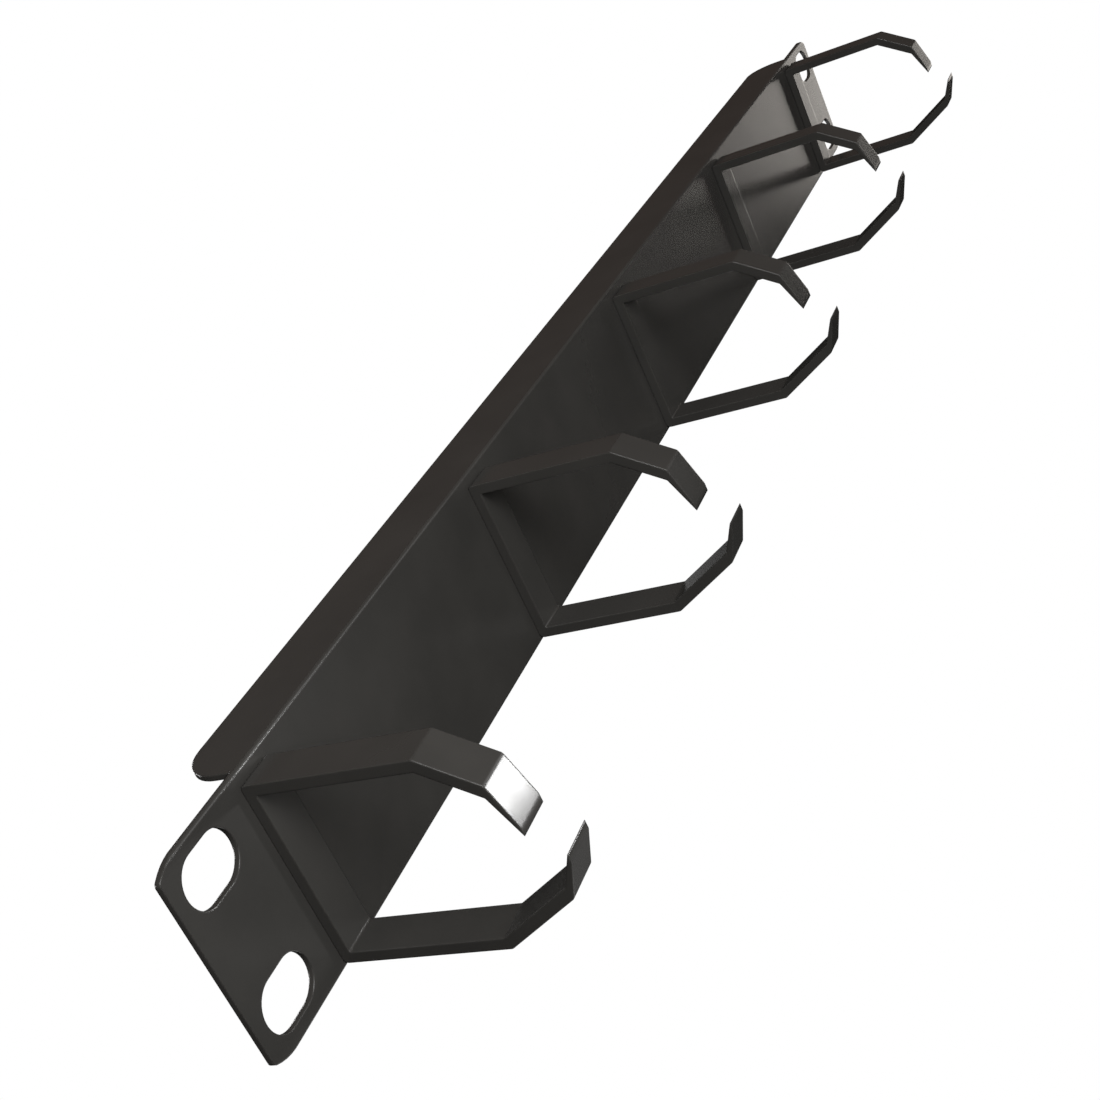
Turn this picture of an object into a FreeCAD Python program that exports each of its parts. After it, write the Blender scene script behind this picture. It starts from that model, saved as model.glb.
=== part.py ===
import FreeCAD, Part
import math
import os

import Sketcher

# Rack cable management bar: a folded panel with slotted ears and five open cable rings.
# X runs along the panel, the rings point to -Y, +Z is up and the folded flange is on top.
# The origin is the middle of the face that sits on the rack rails, so that face lies at Y = 0.

DIMENSIONS = {
    # Panel, folded from one sheet and one rack unit high
    "panel_length": 482.6,
    "panel_height": 44.0,
    "panel_thickness": 1.2,
    "flange_length": 429.0,
    "flange_depth": 14.0,
    "flange_corner_radius": 9.0,
    # Ear corners: a shallow arc that falls towards the end, and a small radius at the end itself
    "ear_arc_run": 6.0,
    "ear_arc_fall": 2.0,
    "ear_arc_radius": 12.0,
    "ear_end_radius": 1.0,
    # Slots in the ears, wide enough for M6 screws at the rack's spacing of 465.1 across and 31.75 up
    "slot_spacing_across": 460.5,
    "slot_spacing_up": 28.0,
    "slot_length": 15.5,
    "slot_width": 10.5,
    # Rings, each bent from one length of flat bar
    "ring_count": 5,
    "ring_pitch": 105.5,
    "ring_drop": 1.0,
    "ring_height": 41.0,
    "bar_width": 9.0,
    "bar_thickness": 2.5,
    "arm_reach": 36.2,
    "upper_slant_run": 10.6,
    "upper_slant_rise": 7.0,
    "upper_lip_rise": 9.0,
    "lower_slant_run": 16.4,
    "lower_slant_rise": 9.4,
    "lower_lip_rise": 7.3,
    "lip_run": 2.8,
    "lip_root_thickness": 1.5,
    "tip_face_height": 1.9,
    # Tight folds of the sheet and the bar
    "sheet_fold_outer_radius": 0.7,
    "bar_fold_outer_radius": 1.2,
    "fold_inner_radius": 0.3,
    # Shallow dished spot-weld marks on the panel's back, behind each ring
    "weld_mark_diameter": 5.0,
    "weld_mark_depth": 0.2,
    "weld_mark_spacing": 22.0,
}

# Sketch positions: the two ends of a line or arc, a centre, the sketch's origin and its two axes
START, END, CENTRE = 1, 2, 3
ORIGIN = (-1, START)
H_AXIS, V_AXIS = -1, -2

X_AXIS = FreeCAD.Vector(1, 0, 0)
Y_AXIS = FreeCAD.Vector(0, 1, 0)
Z_AXIS = FreeCAD.Vector(0, 0, 1)

# Lines of one half of the ring's profile, from its base outwards and back along the inside
HALF_RING = ("arm", "slant", "lip", "tip", "inner_lip", "inner_slant", "inner_arm")


def fill_sheet(doc):
    sheet = doc.addObject("Spreadsheet::Sheet", "Dimensions")
    for row, (alias, value) in enumerate(DIMENSIONS.items(), start=1):
        sheet.set(f"A{row}", alias)
        sheet.set(f"B{row}", str(value))
        sheet.setAlias(f"B{row}", alias)
    doc.recompute()


def origin_feature(body, role):
    return next(item for item in body.Origin.OriginFeatures if item.Role == role)


def new_body(doc, name):
    body = doc.addObject("PartDesign::Body", name)
    body.Label = name
    return body


def new_sketch(body, name, plane_role):
    sketch = body.newObject("Sketcher::SketchObject", name)
    sketch.AttachmentSupport = [(origin_feature(body, plane_role), "")]
    sketch.MapMode = "FlatFace"
    return sketch


def size(obj, formula):
    """The present value of a formula written in the sheet's names."""
    return float(obj.evalExpression(formula))


def point(x, y):
    return FreeCAD.Vector(x, y, 0)


def drive(sketch, kind, *place, by):
    """Add one driving size and bind it to the sheet."""
    number = sketch.addConstraint(Sketcher.Constraint(kind, *place, size(sketch, by)))
    sketch.setExpression(f"Constraints[{number}]", by)


def across(sketch, left, right, by):
    drive(sketch, "DistanceX", *left, *right, by=by)


def upward(sketch, low, high, by):
    drive(sketch, "DistanceY", *low, *high, by=by)


def off_middle(sketch, place, side, by):
    """Height of a place above (side 1) or below (side -1) the sketch's middle line."""
    low, high = (ORIGIN, place) if side > 0 else (place, ORIGIN)
    upward(sketch, low, high, by)


def relate(sketch, kind, *place):
    sketch.addConstraint(Sketcher.Constraint(kind, *place))


def draw_path(sketch, corners):
    """Joined lines from the first corner to the last; returns their numbers."""
    lines = []
    for (x1, y1), (x2, y2) in zip(corners, corners[1:]):
        lines.append(sketch.addGeometry(Part.LineSegment(point(x1, y1), point(x2, y2)), False))
    for one, following in zip(lines, lines[1:]):
        relate(sketch, "Coincident", one, END, following, START)
    return lines


def draw_outline(sketch, corners):
    """Closed run of lines; line number i starts at corner number i."""
    lines = draw_path(sketch, corners + corners[:1])
    relate(sketch, "Coincident", lines[-1], END, lines[0], START)
    return lines


def draw_arc(sketch, centre, radius, start_angle, end_angle):
    circle = Part.Circle(point(*centre), Z_AXIS, radius)
    return sketch.addGeometry(Part.ArcOfCircle(circle, start_angle, end_angle), False)


def pad(body, name, sketch, length):
    """Pad a sketch by half the length to either side of its plane."""
    feature = body.newObject("PartDesign::Pad", name)
    feature.Profile = sketch
    feature.SideType = "Symmetric"
    feature.setExpression("Length", length)
    body.Document.recompute()


def cut_through(body, name, sketch):
    """Cut a sketch through all that lies on the side that its plane faces."""
    before = body.Shape.Volume
    feature = body.newObject("PartDesign::Pocket", name)
    feature.Profile = sketch
    feature.Type = "ThroughAll"
    feature.Reversed = True
    body.Document.recompute()
    if feature.Shape.Volume >= before:
        raise RuntimeError(f"{name} cuts nothing")
    return feature


def edges_along(shape, direction, places):
    """Names of the straight edges along one axis that pass through the given points."""
    names = []
    for number, edge in enumerate(shape.Edges, start=1):
        first, last = edge.Vertexes[0].Point, edge.Vertexes[-1].Point
        run = last - first
        straight = run.Length > 0 and abs(abs(run.normalize() * direction) - 1) < 1e-6
        if not straight:
            continue
        if any(((place - first).cross(direction)).Length < 1e-4 for place in places):
            names.append(f"Edge{number}")
    return names


def round_edges(body, name, direction, places, radius):
    base = body.Tip
    feature = body.newObject("PartDesign::Fillet", name)
    feature.Base = (base, edges_along(base.Shape, direction, places))
    feature.setExpression("Radius", radius)
    body.Document.recompute()


# Panel

def panel_section(body):
    """L-shaped section: the front plate, and the flange that goes back from its top edge."""
    sketch = new_sketch(body, "panel_section", "YZ_Plane")
    high = size(sketch, "Dimensions.panel_height / 2")
    thick = size(sketch, "Dimensions.panel_thickness")
    rear = size(sketch, "Dimensions.flange_depth") - thick
    under = high - thick
    corners = [(-thick, -high), (-thick, high), (rear, high), (rear, under), (0, under), (0, -high)]
    front, top, flange_end, flange_under, back, bottom = draw_outline(sketch, corners)
    for line in (front, flange_end, back):
        relate(sketch, "Vertical", line)
    for line in (top, flange_under, bottom):
        relate(sketch, "Horizontal", line)
    relate(sketch, "PointOnObject", back, START, V_AXIS)
    upward(sketch, (back, END), ORIGIN, "Dimensions.panel_height / 2")
    upward(sketch, (front, START), (front, END), "Dimensions.panel_height")
    across(sketch, (front, START), (back, END), "Dimensions.panel_thickness")
    across(sketch, (top, START), (top, END), "Dimensions.flange_depth")
    upward(sketch, (flange_end, END), (flange_end, START), "Dimensions.panel_thickness")
    return sketch


def ear_relief(body):
    """Space behind the right-hand ear, which has no flange; it runs past the sheet on the open sides."""
    sketch = new_sketch(body, "ear_relief", "XY_Plane")
    inner = size(sketch, "Dimensions.flange_length / 2")
    outer = size(sketch, "Dimensions.panel_length")
    rear = size(sketch, "Dimensions.flange_depth")
    front, end, back, root = draw_outline(sketch, [(inner, 0), (outer, 0), (outer, rear), (inner, rear)])
    for line in (front, back):
        relate(sketch, "Horizontal", line)
    for line in (end, root):
        relate(sketch, "Vertical", line)
    relate(sketch, "PointOnObject", front, START, H_AXIS)
    across(sketch, ORIGIN, (front, START), "Dimensions.flange_length / 2")
    across(sketch, ORIGIN, (front, END), "Dimensions.panel_length")
    upward(sketch, (end, START), (end, END), "Dimensions.flange_depth")
    return sketch


def draw_slot(sketch, side):
    """One round-ended slot, above (side 1) or below (side -1) the panel's middle line."""
    middle = size(sketch, "Dimensions.slot_spacing_across / 2")
    height = side * size(sketch, "Dimensions.slot_spacing_up / 2")
    radius = size(sketch, "Dimensions.slot_width / 2")
    half_straight = size(sketch, "(Dimensions.slot_length - Dimensions.slot_width) / 2")
    left, right = middle - half_straight, middle + half_straight
    quarter = math.pi / 2
    left_end = draw_arc(sketch, (left, height), radius, quarter, 3 * quarter)
    below, = draw_path(sketch, [(left, height - radius), (right, height - radius)])
    right_end = draw_arc(sketch, (right, height), radius, -quarter, quarter)
    above, = draw_path(sketch, [(right, height + radius), (left, height + radius)])
    for one, following in [(left_end, below), (below, right_end), (right_end, above), (above, left_end)]:
        relate(sketch, "Tangent", one, END, following, START)
    relate(sketch, "Horizontal", below)
    relate(sketch, "Equal", left_end, right_end)
    drive(sketch, "Radius", right_end, by="Dimensions.slot_width / 2")
    across(sketch, (left_end, CENTRE), (right_end, CENTRE), "Dimensions.slot_length - Dimensions.slot_width")
    across(sketch, ORIGIN, (left_end, CENTRE),
           "(Dimensions.slot_spacing_across - Dimensions.slot_length + Dimensions.slot_width) / 2")
    off_middle(sketch, (left_end, CENTRE), side, "Dimensions.slot_spacing_up / 2")


def draw_ear_corner(sketch, side):
    """What is cut from the ear's upper (side 1) or lower (side -1) corner, outside its shallow arc."""
    end = size(sketch, "Dimensions.panel_length / 2")
    high = size(sketch, "Dimensions.panel_height / 2")
    run = size(sketch, "Dimensions.ear_arc_run")
    fall = size(sketch, "Dimensions.ear_arc_fall")
    radius = size(sketch, "Dimensions.ear_arc_radius")
    on_edge, on_end = point(end - run, side * high), point(end, side * (high - fall))
    outside = [(on_edge.x, on_edge.y), (on_edge.x, side * (high + run)), (end + run, side * (high + run)),
               (end + run, on_end.y), (on_end.x, on_end.y)]
    rising, over, falling, under = draw_path(sketch, outside)
    for line in (rising, falling):
        relate(sketch, "Vertical", line)
    for line in (over, under):
        relate(sketch, "Horizontal", line)

    chord = on_end - on_edge
    inward = point(-chord.y, chord.x).normalize() * -side
    to_centre = math.sqrt(radius ** 2 - (chord.Length / 2) ** 2)
    centre = on_edge + chord / 2 + inward * to_centre
    angles = sorted(math.atan2(place.y - centre.y, place.x - centre.x) for place in (on_edge, on_end))
    arc = draw_arc(sketch, (centre.x, centre.y), radius, *angles)
    edge_end, end_end = (END, START) if side > 0 else (START, END)
    relate(sketch, "Coincident", arc, edge_end, rising, START)
    relate(sketch, "Coincident", arc, end_end, under, END)

    drive(sketch, "Radius", arc, by="Dimensions.ear_arc_radius")
    across(sketch, ORIGIN, (rising, START), "Dimensions.panel_length / 2 - Dimensions.ear_arc_run")
    off_middle(sketch, (rising, START), side, "Dimensions.panel_height / 2")
    off_middle(sketch, (rising, END), side, "Dimensions.panel_height / 2 + Dimensions.ear_arc_run")
    across(sketch, ORIGIN, (under, END), "Dimensions.panel_length / 2")
    off_middle(sketch, (under, END), side, "Dimensions.panel_height / 2 - Dimensions.ear_arc_fall")
    across(sketch, (under, END), (under, START), "Dimensions.ear_arc_run")


def ear_cuts(body):
    """Both slots of the right-hand ear, and what its corners lose."""
    sketch = new_sketch(body, "ear_cuts", "XZ_Plane")
    for side in (1, -1):
        draw_slot(sketch, side)
        draw_ear_corner(sketch, side)
    return sketch


def mirror_ear(body, features):
    mirrored = body.newObject("PartDesign::Mirrored", "left_ear")
    mirrored.Originals = features
    mirrored.MirrorPlane = (origin_feature(body, "YZ_Plane"), [""])
    body.Tip = mirrored
    body.Document.recompute()


def weld_mark(body, name, height):
    """Shallow dish in the panel's back behind the first ring, turned about its own axis."""
    sketch = new_sketch(body, f"{name}_profile", "XY_Plane")
    first_ring = "-Dimensions.ring_pitch * (Dimensions.ring_count - 1) / 2"
    sketch.setExpression("AttachmentOffset.Base.x", first_ring)
    sketch.setExpression("AttachmentOffset.Base.z", height)
    radius = size(sketch, "Dimensions.weld_mark_diameter / 2")
    depth = size(sketch, "Dimensions.weld_mark_depth")
    axis_side, face_side = draw_path(sketch, [(0, -depth), (0, 0), (radius, 0)])
    dish_radius = (radius ** 2 + depth ** 2) / (2 * depth)
    lowest = -math.pi / 2
    rim = lowest + math.asin(radius / dish_radius)
    dish = draw_arc(sketch, (0, dish_radius - depth), dish_radius, lowest, rim)
    relate(sketch, "Coincident", dish, START, axis_side, START)
    relate(sketch, "Coincident", dish, END, face_side, END)
    relate(sketch, "Coincident", axis_side, END, *ORIGIN)
    relate(sketch, "Vertical", axis_side)
    relate(sketch, "Horizontal", face_side)
    relate(sketch, "PointOnObject", dish, CENTRE, V_AXIS)
    upward(sketch, (axis_side, START), (axis_side, END), "Dimensions.weld_mark_depth")
    across(sketch, (face_side, START), (face_side, END), "Dimensions.weld_mark_diameter / 2")

    before = body.Shape.Volume
    groove = body.newObject("PartDesign::Groove", name)
    groove.Profile = sketch
    groove.ReferenceAxis = (sketch, ["V_Axis"])
    body.Document.recompute()
    if groove.Shape.Volume >= before:
        raise RuntimeError(f"{name} cuts nothing")
    return groove


def stamp_weld_marks(body):
    """A pair of weld marks behind each ring."""
    upper = weld_mark(body, "upper_weld_mark", "Dimensions.weld_mark_spacing / 2 - Dimensions.ring_drop")
    lower = weld_mark(body, "lower_weld_mark", "-Dimensions.weld_mark_spacing / 2 - Dimensions.ring_drop")
    row = body.newObject("PartDesign::LinearPattern", "weld_mark_row")
    row.Originals = [upper, lower]
    row.Direction = (origin_feature(body, "X_Axis"), [""])
    row.setExpression("Length", "Dimensions.ring_pitch * (Dimensions.ring_count - 1)")
    row.setExpression("Occurrences", "Dimensions.ring_count")
    body.Tip = row
    body.Document.recompute()


def build_panel(doc):
    body = new_body(doc, "panel")
    pad(body, "folded_plate", panel_section(body), "Dimensions.panel_length")
    thick = size(body, "Dimensions.panel_thickness")
    high = size(body, "Dimensions.panel_height / 2")
    rear = size(body, "Dimensions.flange_depth") - thick
    flange_end = size(body, "Dimensions.flange_length / 2")
    panel_end = size(body, "Dimensions.panel_length / 2")
    shoulder = size(body, "Dimensions.panel_height / 2 - Dimensions.ear_arc_fall")

    fold_outside, fold_inside = FreeCAD.Vector(0, -thick, high), FreeCAD.Vector(0, 0, high - thick)
    round_edges(body, "fold_outside", X_AXIS, [fold_outside], "Dimensions.sheet_fold_outer_radius")
    round_edges(body, "fold_inside", X_AXIS, [fold_inside], "Dimensions.fold_inner_radius")
    relief = cut_through(body, "ear_relief_cut", ear_relief(body))
    ear = cut_through(body, "ear_cut", ear_cuts(body))
    mirror_ear(body, [relief, ear])

    flange_corners = [FreeCAD.Vector(side * flange_end, rear, 0) for side in (1, -1)]
    round_edges(body, "flange_corners", Z_AXIS, flange_corners, "Dimensions.flange_corner_radius")
    ear_ends = [FreeCAD.Vector(x, 0, z) for x in (-panel_end, panel_end) for z in (-shoulder, shoulder)]
    round_edges(body, "ear_ends", Y_AXIS, ear_ends, "Dimensions.ear_end_radius")
    stamp_weld_marks(body)
    return body


# Cable ring

def half_corners(sketch, side):
    """Corners of one half of the ring, from its base to its tip and back along the inside.

    Side 1 is the upper half, side -1 the lower half. The inside corners are first guesses, which the
    sketch's own conditions then move to their places.
    """
    half = "upper" if side > 0 else "lower"
    thick = size(sketch, "Dimensions.bar_thickness")
    top = size(sketch, "Dimensions.ring_height / 2")
    reach = size(sketch, "Dimensions.arm_reach")
    nose = reach + size(sketch, f"Dimensions.{half}_slant_run")
    nose_height = top - size(sketch, f"Dimensions.{half}_slant_rise")
    tip = nose + size(sketch, "Dimensions.lip_run")
    tip_height = nose_height - size(sketch, f"Dimensions.{half}_lip_rise")
    tip_face = size(sketch, "Dimensions.tip_face_height")
    outside = [(0, top), (reach, top), (nose, nose_height), (tip, tip_height)]
    inside = [(tip, tip_height - tip_face), (nose - thick / 2, nose_height - thick),
              (reach - thick / 3, top - thick), (thick, top - thick)]
    return [(y, side * z) for y, z in outside + inside]


def half_lines(side):
    """Each line of one half by name: its number, and its first and last end from the base outwards."""
    count = len(HALF_RING)
    if side > 0:
        return {name: (i, START, END) for i, name in enumerate(HALF_RING)}
    return {name: (2 * count - i, END, START) for i, name in enumerate(HALF_RING)}


def first(line):
    return line[0], line[1]


def last(line):
    return line[0], line[2]


def limit_half(sketch, side):
    """Sizes of one half: arm, slant, lip and tip, with the bar's thickness kept along arm and slant."""
    half = "upper" if side > 0 else "lower"
    lines = half_lines(side)
    arm, slant, lip, tip, inner_lip, inner_slant, inner_arm = (lines[name] for name in HALF_RING)

    def fall(start, end, by):
        low, high = (end, start) if side > 0 else (start, end)
        upward(sketch, low, high, by)

    for line in (arm, inner_arm):
        relate(sketch, "Horizontal", line[0])
    relate(sketch, "Vertical", tip[0])
    relate(sketch, "Parallel", inner_slant[0], slant[0])
    across(sketch, first(arm), last(arm), "Dimensions.arm_reach")
    across(sketch, first(slant), last(slant), f"Dimensions.{half}_slant_run")
    fall(first(slant), last(slant), f"Dimensions.{half}_slant_rise")
    across(sketch, first(lip), last(lip), "Dimensions.lip_run")
    fall(first(lip), last(lip), f"Dimensions.{half}_lip_rise")
    fall(first(tip), last(tip), "Dimensions.tip_face_height")
    drive(sketch, "Distance", *last(inner_lip), lip[0], by="Dimensions.lip_root_thickness")
    drive(sketch, "Distance", *last(inner_slant), slant[0], by="Dimensions.bar_thickness")
    across(sketch, first(arm), last(inner_arm), "Dimensions.bar_thickness")
    fall(first(arm), last(inner_arm), "Dimensions.bar_thickness")


def ring_profile(body):
    """Bent bar seen from its edge: Y is the distance from the panel, Z is up."""
    sketch = new_sketch(body, "bent_bar", "YZ_Plane")
    lines = draw_outline(sketch, half_corners(sketch, 1) + half_corners(sketch, -1)[::-1])
    base = lines[-1]
    relate(sketch, "PointOnObject", base, START, V_AXIS)
    relate(sketch, "Symmetric", base, START, base, END, *ORIGIN)
    upward(sketch, (base, START), (base, END), "Dimensions.ring_height")
    for side in (1, -1):
        limit_half(sketch, side)
    return sketch


def fold_places(sketch, ends):
    """Places of the fold edges that pass through the given ends of the profile's lines."""
    corners = [sketch.getPoint(*end) for end in ends]
    return [FreeCAD.Vector(0, corner.x, corner.y) for corner in corners]


def build_ring(doc, number):
    body = new_body(doc, f"cable_ring_{number}")
    profile = ring_profile(body)
    pad(body, "bar", profile, "Dimensions.bar_width")

    outside, inside = [], []
    for lines in (half_lines(1), half_lines(-1)):
        outside += [first(lines[name]) for name in ("arm", "slant", "lip")]
        inside += [last(lines[name]) for name in ("inner_lip", "inner_slant", "inner_arm")]
    outer_folds, inner_folds = fold_places(profile, outside), fold_places(profile, inside)
    round_edges(body, "folds_outside", X_AXIS, outer_folds, "Dimensions.bar_fold_outer_radius")
    round_edges(body, "folds_inside", X_AXIS, inner_folds, "Dimensions.fold_inner_radius")

    body.Placement = FreeCAD.Placement(FreeCAD.Vector(0, 0, 0), FreeCAD.Rotation(Z_AXIS, 180))
    steps_from_middle = f"({number} - (Dimensions.ring_count + 1) / 2)"
    body.setExpression("Placement.Base.x", f"Dimensions.ring_pitch * {steps_from_middle}")
    body.setExpression("Placement.Base.y", "-Dimensions.panel_thickness")
    body.setExpression("Placement.Base.z", "-Dimensions.ring_drop")
    return body


# Whole bar

def check_document(doc, bodies):
    for obj in doc.Objects:
        if "Invalid" in obj.State or "Error" in obj.State:
            raise RuntimeError(f"{obj.Label} failed: {obj.State}")
    for body in bodies:
        if body.Shape.isNull() or not body.Shape.isValid() or len(body.Shape.Solids) != 1:
            raise RuntimeError(f"{body.Label} is not one valid solid")


def main():
    doc = FreeCAD.newDocument("cable_management_bar")
    fill_sheet(doc)
    bodies = [build_panel(doc)]
    bodies += [build_ring(doc, number) for number in range(1, DIMENSIONS["ring_count"] + 1)]
    doc.recompute()
    check_document(doc, bodies)
    os.makedirs("parts", exist_ok=True)
    for body in bodies:
        body.Shape.exportStep(f"parts/{body.Label}.step")
        box = body.Shape.BoundBox
        print(f"{body.Label}: volume {body.Shape.Volume:.1f} mm3, "
              f"X {box.XMin:.2f}..{box.XMax:.2f}, Y {box.YMin:.2f}..{box.YMax:.2f}, "
              f"Z {box.ZMin:.2f}..{box.ZMax:.2f}")


main()
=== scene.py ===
"""Looks of a one-unit rack cable management bar: satin black coat, studio light and camera."""
import math

import bpy
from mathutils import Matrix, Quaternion, Vector

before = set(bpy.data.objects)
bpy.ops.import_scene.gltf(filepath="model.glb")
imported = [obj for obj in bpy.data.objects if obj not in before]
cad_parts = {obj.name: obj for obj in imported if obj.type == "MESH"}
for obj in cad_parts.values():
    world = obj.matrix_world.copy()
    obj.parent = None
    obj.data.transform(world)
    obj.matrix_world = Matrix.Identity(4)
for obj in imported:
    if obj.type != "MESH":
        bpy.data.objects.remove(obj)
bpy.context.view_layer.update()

MILLIMETRE = 0.001
Z_AXIS = Vector((0.0, 0.0, 1.0))
WHITE = (1.0, 1.0, 1.0)
NONE_TO_ALL = (0.0, 1.0)
ALL_TO_NONE = (1.0, 0.0)

# Coat of paint
COAT_COLOUR = (0.0350, 0.0340, 0.0318)
COAT_COLOUR_WORN = (0.0420, 0.0406, 0.0378)
COAT_ROUGHNESS = (0.23, 0.26)
COAT_SPECULAR = 0.42
COAT_EDGE = 0.5 * MILLIMETRE
COAT_EDGE_SAMPLES = 8

# Unevenness of the coat: clouds in its colour, patches in its gloss and orange peel
CLOUD_SIZE = 18 * MILLIMETRE
CLOUD_DETAIL = 4.0
GLOSS_SIZE = 6 * MILLIMETRE
GLOSS_DETAIL = 3.0
PEEL_SIZE = 0.9 * MILLIMETRE
PEEL_DETAIL = 2.0
PEEL_DEPTH = 0.0005 * MILLIMETRE
NOISE_MIDDLE = (0.3, 0.7)

# Edges that the coat rounds
PANEL_EDGE_BREAK = 0.4 * MILLIMETRE
RING_EDGE_BREAK = 0.12 * MILLIMETRE
EDGE_STEPS = 3
SHARP_ANGLE = math.radians(30)
FLAT_ANGLE = math.radians(0.5)
MERGE_GAP = 0.001 * MILLIMETRE
LARGE_FACE_WEIGHT = 100

# Camera
CAMERA_PLACE = Vector((-0.40303, -0.19373, 0.14139))
CAMERA_AIM = Vector((-0.08636, 0.0008, -0.01133))
CAMERA_ROLL = math.radians(-25.52)
CAMERA_LENS = 54.70
CAMERA_SENSOR = 36.0
CAMERA_NEAREST = 0.01

# Floor
FLOOR_DEPTH = 1.0
FLOOR_RADIUS = 0.6
FLOOR_SIDES = 96
FLOOR_COLOUR = (0.80, 0.80, 0.80)
FLOOR_GLOW = 0.75

# Room around the bar
ROOM_ABOVE = (0.070, 0.052, 0.044)
ROOM_BELOW = (0.010, 0.010, 0.009)
ROOM_HORIZON = (-0.05, 0.20)
BACKDROP_EDGE = (0.12, 0.20)
BOUNCE_DIRECTION = Vector((0.604, -0.220, -0.766)).normalized()
BOUNCE_LIGHT = (0.20, 0.199, 0.197)
BOUNCE_REACH = (0.945, 0.985)

# Lamps: how wide they fan out in degrees, a warm tint, and the points of the bar that they face
FULL_FAN = 180.0
GLINT_FAN = 30.0
WARM_LIGHT = (1.0, 0.945, 0.88)
FIRST_LIP = (-0.211, -0.053, 0.008)
NEAR_HALF = (-0.1, 0.0, 0.0)
MIDDLE = (0.0, 0.0, 0.0)
FAR_HALF = (0.15, 0.0, 0.0)
FAR_END = (0.235, 0.0, 0.0)


def add_node(tree, kind, **settings):
    """Adds a node and sets its sockets, or its own properties where no socket has that name."""
    node = tree.nodes.new(kind)
    for name, value in settings.items():
        socket = name.replace("_", " ").title()
        if socket in node.inputs:
            node.inputs[socket].default_value = value
        else:
            setattr(node, name, value)
    return node


def new_material(name):
    """An empty node material, its tree and its output node."""
    material = bpy.data.materials.new(name)
    material.use_nodes = True
    material.node_tree.nodes.clear()
    output = add_node(material.node_tree, "ShaderNodeOutputMaterial")
    return material, material.node_tree, output


def noise(tree, place, size, detail):
    """A noise field whose features are about that size."""
    field = add_node(tree, "ShaderNodeTexNoise", scale=1.0 / size, detail=detail)
    tree.links.new(place, field.inputs["Vector"])
    return field.outputs["Fac"]


def compute(tree, operation, *values):
    """A maths node fed with sockets or plain numbers."""
    node = add_node(tree, "ShaderNodeMath", operation=operation)
    for socket, value in zip(node.inputs, values):
        if isinstance(value, float):
            socket.default_value = value
        else:
            tree.links.new(value, socket)
    return node.outputs["Value"]


def along(tree, ray, axis):
    """How far a ray points along an axis."""
    dot = add_node(tree, "ShaderNodeVectorMath", operation="DOT_PRODUCT")
    dot.inputs[1].default_value = axis
    tree.links.new(ray, dot.inputs[0])
    return dot.outputs["Value"]


def map_range(tree, value, source, target, interpolation="LINEAR"):
    """Maps a value from one range onto another and holds it inside that range."""
    step = add_node(tree, "ShaderNodeMapRange", interpolation_type=interpolation)
    for name, number in zip(("From Min", "From Max", "To Min", "To Max"), (*source, *target)):
        step.inputs[name].default_value = number
    tree.links.new(value, step.inputs["Value"])
    return step.outputs["Result"]


def mix_colours(tree, share, first, second):
    """Blends two colours, each a socket or a plain colour."""
    mix = add_node(tree, "ShaderNodeMix", data_type="RGBA")
    for socket, value in ((mix.inputs["A"], first), (mix.inputs["B"], second)):
        if isinstance(value, tuple):
            socket.default_value = (*value, 1.0)
        else:
            tree.links.new(value, socket)
    tree.links.new(share, mix.inputs["Factor"])
    return mix.outputs["Result"]


def viewing_rays(tree):
    """What a ray is: one from the camera, or one seen in gloss or through glass."""
    path = add_node(tree, "ShaderNodeLightPath")
    gloss = compute(tree, "MAXIMUM", path.outputs["Is Glossy Ray"], path.outputs["Is Transmission Ray"])
    return path.outputs["Is Camera Ray"], gloss


def coat_material():
    """Satin black paint with clouds in its colour and gloss, soft edges and a fine orange peel."""
    material, tree, output = new_material("satin_black_coat")
    paint = add_node(tree, "ShaderNodeBsdfPrincipled")
    paint.inputs["Specular IOR Level"].default_value = COAT_SPECULAR
    place = add_node(tree, "ShaderNodeTexCoord").outputs["Object"]

    clouds = noise(tree, place, CLOUD_SIZE, CLOUD_DETAIL)
    wear = map_range(tree, clouds, NOISE_MIDDLE, NONE_TO_ALL)
    tree.links.new(mix_colours(tree, wear, COAT_COLOUR, COAT_COLOUR_WORN), paint.inputs["Base Color"])

    gloss = noise(tree, place, GLOSS_SIZE, GLOSS_DETAIL)
    tree.links.new(map_range(tree, gloss, NOISE_MIDDLE, COAT_ROUGHNESS), paint.inputs["Roughness"])

    soft_edge = add_node(tree, "ShaderNodeBevel", samples=COAT_EDGE_SAMPLES, radius=COAT_EDGE)
    peel = add_node(tree, "ShaderNodeBump", strength=1.0, distance=PEEL_DEPTH)
    tree.links.new(soft_edge.outputs["Normal"], peel.inputs["Normal"])
    tree.links.new(noise(tree, place, PEEL_SIZE, PEEL_DETAIL), peel.inputs["Height"])
    tree.links.new(peel.outputs["Normal"], paint.inputs["Normal"])
    tree.links.new(paint.outputs["BSDF"], output.inputs["Surface"])
    return material


def joined_faces_group():
    """Node group that joins the faces of a node along their shared edges and makes them smooth."""
    group = bpy.data.node_groups.new("joined_faces", "GeometryNodeTree")
    group.interface.new_socket("Geometry", in_out="INPUT", socket_type="NodeSocketGeometry")
    group.interface.new_socket("Geometry", in_out="OUTPUT", socket_type="NodeSocketGeometry")
    start = add_node(group, "NodeGroupInput")
    join = add_node(group, "GeometryNodeMergeByDistance", distance=MERGE_GAP)
    smooth = add_node(group, "GeometryNodeSetMeshNormal", remove_custom=True)
    end = add_node(group, "NodeGroupOutput")
    group.links.new(start.outputs[0], join.inputs["Geometry"])
    group.links.new(join.outputs["Geometry"], smooth.inputs["Mesh"])
    group.links.new(smooth.outputs["Mesh"], end.inputs[0])
    return group


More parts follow.
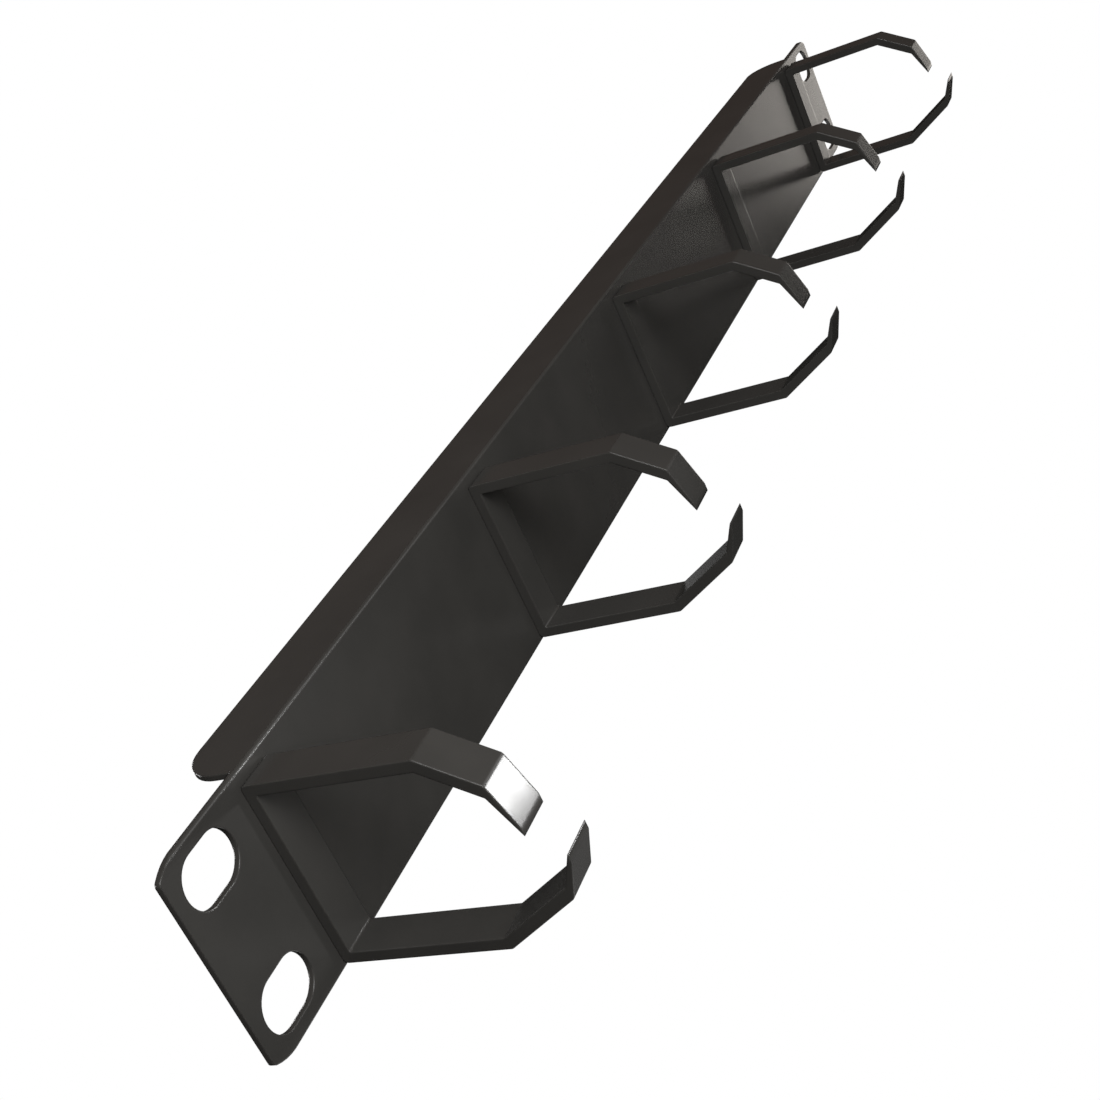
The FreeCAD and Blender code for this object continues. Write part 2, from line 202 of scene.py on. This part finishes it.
def break_edges(piece, joined_faces, width):
    """Rounds the sharp edges of a node the way its coat does."""
    joined = piece.modifiers.new("joined_faces", "NODES")
    joined.node_group = joined_faces
    faces = piece.modifiers.new("whole_faces", "DECIMATE")
    faces.decimate_type = "DISSOLVE"
    faces.angle_limit = FLAT_ANGLE
    edges = piece.modifiers.new("edge_break", "BEVEL")
    edges.width = width
    edges.segments = EDGE_STEPS
    edges.limit_method = "ANGLE"
    edges.angle_limit = SHARP_ANGLE
    shading = piece.modifiers.new("even_shading", "WEIGHTED_NORMAL")
    shading.weight = LARGE_FACE_WEIGHT


def dress(piece, material):
    """Gives a node its coat."""
    piece.data.materials.clear()
    piece.data.materials.append(material)


def floor_material():
    """Pale matt paper with a glow that only the eye and gloss see."""
    material, tree, output = new_material("pale_floor")
    paper = add_node(tree, "ShaderNodeBsdfDiffuse", color=(*FLOOR_COLOUR, 1.0))
    glow = add_node(tree, "ShaderNodeEmission")
    whole = add_node(tree, "ShaderNodeAddShader")
    seen = compute(tree, "MAXIMUM", *viewing_rays(tree))
    tree.links.new(compute(tree, "MULTIPLY", seen, FLOOR_GLOW), glow.inputs["Strength"])
    tree.links.new(paper.outputs["BSDF"], whole.inputs[0])
    tree.links.new(glow.outputs["Emission"], whole.inputs[1])
    tree.links.new(whole.outputs["Shader"], output.inputs["Surface"])
    return material


def lay_floor():
    """A round pale floor well below the bar."""
    turn = 2.0 * math.pi / FLOOR_SIDES
    rim = [
        (FLOOR_RADIUS * math.cos(i * turn), FLOOR_RADIUS * math.sin(i * turn), -FLOOR_DEPTH)
        for i in range(FLOOR_SIDES)
    ]
    mesh = bpy.data.meshes.new("floor")
    mesh.from_pydata(rim, [], [range(FLOOR_SIDES)])
    mesh.materials.append(floor_material())
    floor = bpy.data.objects.new("floor", mesh)
    bpy.context.scene.collection.objects.link(floor)


def camera_turn():
    """The camera's rotation, rolled about its own axis."""
    level = (CAMERA_AIM - CAMERA_PLACE).to_track_quat("-Z", "Y")
    return level @ Quaternion(Z_AXIS, CAMERA_ROLL)


def place_camera():
    """The photograph's viewpoint."""
    lens = bpy.data.cameras.new("camera")
    lens.lens = CAMERA_LENS
    lens.sensor_width = CAMERA_SENSOR
    lens.clip_start = CAMERA_NEAREST
    camera = bpy.data.objects.new("camera", lens)
    camera.location = CAMERA_PLACE
    camera.rotation_mode = "QUATERNION"
    camera.rotation_quaternion = camera_turn()
    bpy.context.scene.collection.objects.link(camera)
    bpy.context.scene.camera = camera


def backdrop_share(tree, ray):
    """One where a ray meets the square backdrop behind the bar, with a soft fall to zero around it."""
    right, up, back = camera_turn().to_matrix().col
    depth = along(tree, ray, -back)
    slopes = [compute(tree, "DIVIDE", along(tree, ray, axis), depth) for axis in (right, up)]
    offsets = [compute(tree, "ABSOLUTE", slope) for slope in slopes]
    farther = compute(tree, "MAXIMUM", *offsets)
    square = map_range(tree, farther, BACKDROP_EDGE, ALL_TO_NONE, "SMOOTHSTEP")
    return compute(tree, "MULTIPLY", square, compute(tree, "GREATER_THAN", depth, 0.0))


def light_room():
    """A dim room with a weak bounce from below; the eye sees it white, and gloss a white backdrop in it."""
    world = bpy.data.worlds.new("room")
    world.use_nodes = True
    tree = world.node_tree
    ray = add_node(tree, "ShaderNodeTexCoord").outputs["Generated"]
    height = map_range(tree, along(tree, ray, Z_AXIS), ROOM_HORIZON, NONE_TO_ALL, "SMOOTHSTEP")
    room = mix_colours(tree, height, ROOM_BELOW, ROOM_ABOVE)
    bounce = map_range(tree, along(tree, ray, BOUNCE_DIRECTION), BOUNCE_REACH, NONE_TO_ALL, "SMOOTHSTEP")
    lit_room = mix_colours(tree, bounce, room, BOUNCE_LIGHT)
    eye, gloss = viewing_rays(tree)
    backdrop = compute(tree, "MULTIPLY", backdrop_share(tree, ray), gloss)
    colour = mix_colours(tree, compute(tree, "MAXIMUM", eye, backdrop), lit_room, WHITE)
    tree.links.new(colour, tree.nodes["Background"].inputs["Color"])
    bpy.context.scene.world = world


def softbox(name, place, aim, size, power, fan=FULL_FAN, colour=WHITE):
    """A rectangular soft light, its power in watts, that faces a point."""
    lamp = bpy.data.lights.new(name, "AREA")
    lamp.shape = "RECTANGLE"
    lamp.size, lamp.size_y = size
    lamp.energy = power
    lamp.spread = math.radians(fan)
    lamp.color = colour
    box = bpy.data.objects.new(name, lamp)
    box.location = place
    box.visible_camera = False
    box.rotation_euler = (Vector(aim) - Vector(place)).to_track_quat("-Z", "Y").to_euler()
    bpy.context.scene.collection.objects.link(box)


def light_object():
    """Soft lamps round the bar, a low glow past its far end and a glint on the first ring's lip."""
    softbox("key", place=(-0.42, -0.45, 0.32), aim=NEAR_HALF, size=(0.45, 0.45), power=3.5)
    softbox("overhead", place=(-0.46, -0.26, 0.47), aim=NEAR_HALF, size=(0.25, 0.25), power=1.5)
    softbox("front_fill", place=(0.45, -0.75, 0.25), aim=FAR_HALF, size=(0.5, 0.5), power=1.3)
    softbox("rear", place=(0.0, 0.9, -0.03), aim=MIDDLE, size=(0.8, 0.2), power=6.0)
    softbox(
        "far_glow",
        place=(2.16, -0.27, -0.245),
        aim=FAR_END,
        size=(0.55, 0.60),
        power=3.5,
        colour=WARM_LIGHT,
    )
    softbox(
        "lip_glint",
        place=(0.0, -0.264, -0.024),
        aim=FIRST_LIP,
        size=(0.035, 0.035),
        power=0.0075,
        fan=GLINT_FAN,
    )


coat = coat_material()
joined_faces = joined_faces_group()
for name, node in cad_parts.items():
    dress(node, coat)
    break_edges(node, joined_faces, PANEL_EDGE_BREAK if name == "panel" else RING_EDGE_BREAK)
lay_floor()
light_room()
light_object()
place_camera()
bpy.context.scene.view_settings.view_transform = "Standard"
